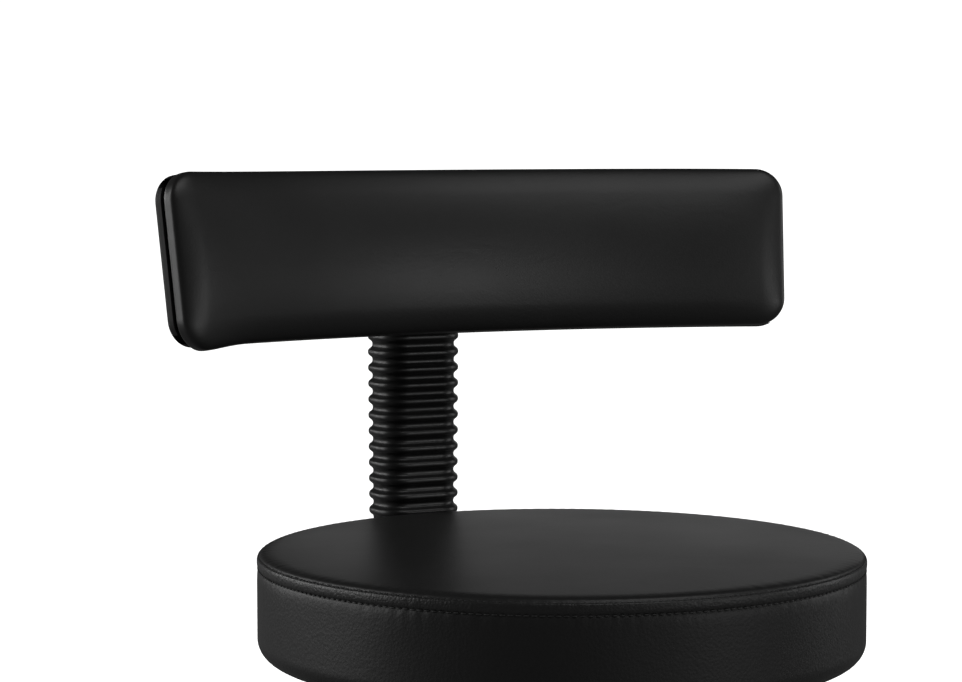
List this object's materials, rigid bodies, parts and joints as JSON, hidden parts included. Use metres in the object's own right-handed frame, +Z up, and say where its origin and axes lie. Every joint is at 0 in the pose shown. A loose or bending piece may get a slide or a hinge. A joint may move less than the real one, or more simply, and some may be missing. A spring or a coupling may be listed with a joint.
{
  "type": "adjustable swivel stool",
  "caption": "Round upholstered swivel stool on casters with gas lift and a curved backrest that slides, rises and tilts on a bellows-covered bar.",
  "frame": {"origin": "on the column axis at floor level, where the casters rest", "axes": "+Z up; the person on the stool faces -Y, so the backrest is on the +Y side; X runs across the seat"},
  "size_m": [0.5854, 0.5567, 0.7411],
  "materials": {
    "chrome": "polished chrome plate",
    "zinc": "zinc plated steel",
    "black_steel": "satin black powder coat",
    "column_paint": "satin black paint",
    "nylon": "fine moulded grain",
    "shell": "moulded, light grain",
    "wheel": "worn tread",
    "rubber": "matt moulded rubber",
    "leather": "semi-gloss, fine grain",
    "foam": "cut polyurethane foam",
    "plywood": "birch plywood",
    "cloth": "non-woven cloth"
  },
  "bodies": {
    "base": {"star_base": "chrome", "column_tube": "column_paint", "column_bush": "nylon", "thrust_bearing": "zinc", "caster_stems": "zinc"},
    "spindle": {"piston_rod": "chrome", "piston": "zinc", "rod_clip": "zinc", "bump_stop": "rubber"},
    "seat": {"gas_cylinder": "chrome", "taper_socket": "black_steel", "seat_plate": "black_steel", "bar_guide": "black_steel", "plate_bolts": "zinc", "tee_nuts": "zinc", "seat_board": "plywood", "seat_foam": "foam", "seat_cover": "leather", "dust_cover": "cloth", "cover_staples": "zinc", "lever_pin": "zinc"},
    "valve": {"release_pin": "zinc"},
    "lever": {"release_lever": "black_steel", "lever_grip": "nylon"},
    "bar": {"back_bar": "black_steel", "bellows": "rubber", "bar_stop": "zinc"},
    "depth_clamp": {"depth_knob": "nylon", "depth_stud": "zinc"},
    "carrier": {"back_carrier": "nylon", "tilt_pin": "zinc"},
    "height_clamp": {"height_knob": "nylon", "height_stud": "zinc"},
    "backrest": {"hinge_plate": "black_steel", "hinge_screws": "zinc", "back_board": "plywood", "back_foam": "foam", "back_cover": "leather", "back_shell": "shell", "shell_screws": "zinc"},
    "caster_1": {"caster_hood_1": "nylon", "caster_axle_1": "zinc"},
    "wheel_left_1": {"caster_wheel_left_1": "wheel"},
    "wheel_right_1": {"caster_wheel_right_1": "wheel"},
    "caster_2": {"caster_hood_2": "nylon", "caster_axle_2": "zinc"},
    "wheel_left_2": {"caster_wheel_left_2": "wheel"},
    "wheel_right_2": {"caster_wheel_right_2": "wheel"},
    "caster_3": {"caster_hood_3": "nylon", "caster_axle_3": "zinc"},
    "wheel_left_3": {"caster_wheel_left_3": "wheel"},
    "wheel_right_3": {"caster_wheel_right_3": "wheel"},
    "caster_4": {"caster_hood_4": "nylon", "caster_axle_4": "zinc"},
    "wheel_left_4": {"caster_wheel_left_4": "wheel"},
    "wheel_right_4": {"caster_wheel_right_4": "wheel"},
    "caster_5": {"caster_hood_5": "nylon", "caster_axle_5": "zinc"},
    "wheel_left_5": {"caster_wheel_left_5": "wheel"},
    "wheel_right_5": {"caster_wheel_right_5": "wheel"}
  },
  "joints": [
    {"name": "seat_swivel", "type": "hinge", "parent": "base", "child": "spindle", "pos_m": [0, 0, 0.07], "axis": [0, 0, 1], "continuous": true},
    {"name": "seat_lift", "type": "slide", "parent": "spindle", "child": "seat", "axis": [0, 0, 1], "range_m": [-0.065, 0.065]},
    {"name": "lever_pull", "type": "hinge", "parent": "seat", "child": "lever", "pos_m": [-0.025, 0, 0.4375], "axis": [0, 1, 0], "range_deg": [0, 7], "stiffness_Nm_per_rad": 8, "springref_deg": -2.86},
    {"name": "release_pin_press", "type": "slide", "parent": "seat", "child": "valve", "axis": [0, 0, 1], "range_m": [-0.0031, 0]},
    {"name": "back_depth", "type": "slide", "parent": "seat", "child": "bar", "axis": [0, 1, 0], "range_m": [0, 0.04]},
    {"name": "depth_clamp_turn", "type": "hinge", "parent": "seat", "child": "depth_clamp", "pos_m": [0, 0.112, 0.41], "axis": [0, 0, 1], "range_deg": [0, 270]},
    {"name": "back_height", "type": "slide", "parent": "bar", "child": "carrier", "axis": [0, 0, 1], "range_m": [-0.02, 0.03], "deforming": ["bellows"]},
    {"name": "height_clamp_turn", "type": "hinge", "parent": "carrier", "child": "height_clamp", "pos_m": [0, 0.24, 0.684], "axis": [0, 1, 0], "range_deg": [0, 270]},
    {"name": "back_tilt", "type": "hinge", "parent": "carrier", "child": "backrest", "pos_m": [0, 0.168, 0.69], "axis": [1, 0, 0], "range_deg": [-8, 12]},
    {"name": "caster_swivel_1", "type": "hinge", "parent": "base", "child": "caster_1", "pos_m": [0, -0.25, 0.05], "axis": [0, 0, 1], "continuous": true},
    {"name": "wheel_left_spin_1", "type": "hinge", "parent": "caster_1", "child": "wheel_left_1", "pos_m": [0, -0.272, 0.025], "axis": [1, 0, 0], "continuous": true},
    {"name": "wheel_right_spin_1", "type": "hinge", "parent": "caster_1", "child": "wheel_right_1", "pos_m": [0, -0.272, 0.025], "axis": [1, 0, 0], "continuous": true},
    {"name": "caster_swivel_2", "type": "hinge", "parent": "base", "child": "caster_2", "pos_m": [0.23776, -0.07725, 0.05], "axis": [0, 0, 1], "continuous": true},
    {"name": "wheel_left_spin_2", "type": "hinge", "parent": "caster_2", "child": "wheel_left_2", "pos_m": [0.25869, -0.08405, 0.025], "axis": [0.309, 0.9511, 0], "continuous": true},
    {"name": "wheel_right_spin_2", "type": "hinge", "parent": "caster_2", "child": "wheel_right_2", "pos_m": [0.25869, -0.08405, 0.025], "axis": [0.309, 0.9511, 0], "continuous": true},
    {"name": "caster_swivel_3", "type": "hinge", "parent": "base", "child": "caster_3", "pos_m": [0.14695, 0.20225, 0.05], "axis": [0, 0, 1], "continuous": true},
    {"name": "wheel_left_spin_3", "type": "hinge", "parent": "caster_3", "child": "wheel_left_3", "pos_m": [0.15988, 0.22005, 0.025], "axis": [-0.809, 0.5878, 0], "continuous": true},
    {"name": "wheel_right_spin_3", "type": "hinge", "parent": "caster_3", "child": "wheel_right_3", "pos_m": [0.15988, 0.22005, 0.025], "axis": [-0.809, 0.5878, 0], "continuous": true},
    {"name": "caster_swivel_4", "type": "hinge", "parent": "base", "child": "caster_4", "pos_m": [-0.14695, 0.20225, 0.05], "axis": [0, 0, 1], "continuous": true},
    {"name": "wheel_left_spin_4", "type": "hinge", "parent": "caster_4", "child": "wheel_left_4", "pos_m": [-0.15988, 0.22005, 0.025], "axis": [-0.809, -0.5878, 0], "continuous": true},
    {"name": "wheel_right_spin_4", "type": "hinge", "parent": "caster_4", "child": "wheel_right_4", "pos_m": [-0.15988, 0.22005, 0.025], "axis": [-0.809, -0.5878, 0], "continuous": true},
    {"name": "caster_swivel_5", "type": "hinge", "parent": "base", "child": "caster_5", "pos_m": [-0.23776, -0.07725, 0.05], "axis": [0, 0, 1], "continuous": true},
    {"name": "wheel_left_spin_5", "type": "hinge", "parent": "caster_5", "child": "wheel_left_5", "pos_m": [-0.25869, -0.08405, 0.025], "axis": [0.309, -0.9511, 0], "continuous": true},
    {"name": "wheel_right_spin_5", "type": "hinge", "parent": "caster_5", "child": "wheel_right_5", "pos_m": [-0.25869, -0.08405, 0.025], "axis": [0.309, -0.9511, 0], "continuous": true}
  ],
  "couplings": [
    {"joint": "release_pin_press", "follows": "lever_pull", "m_per_rad": -0.025}
  ]
}
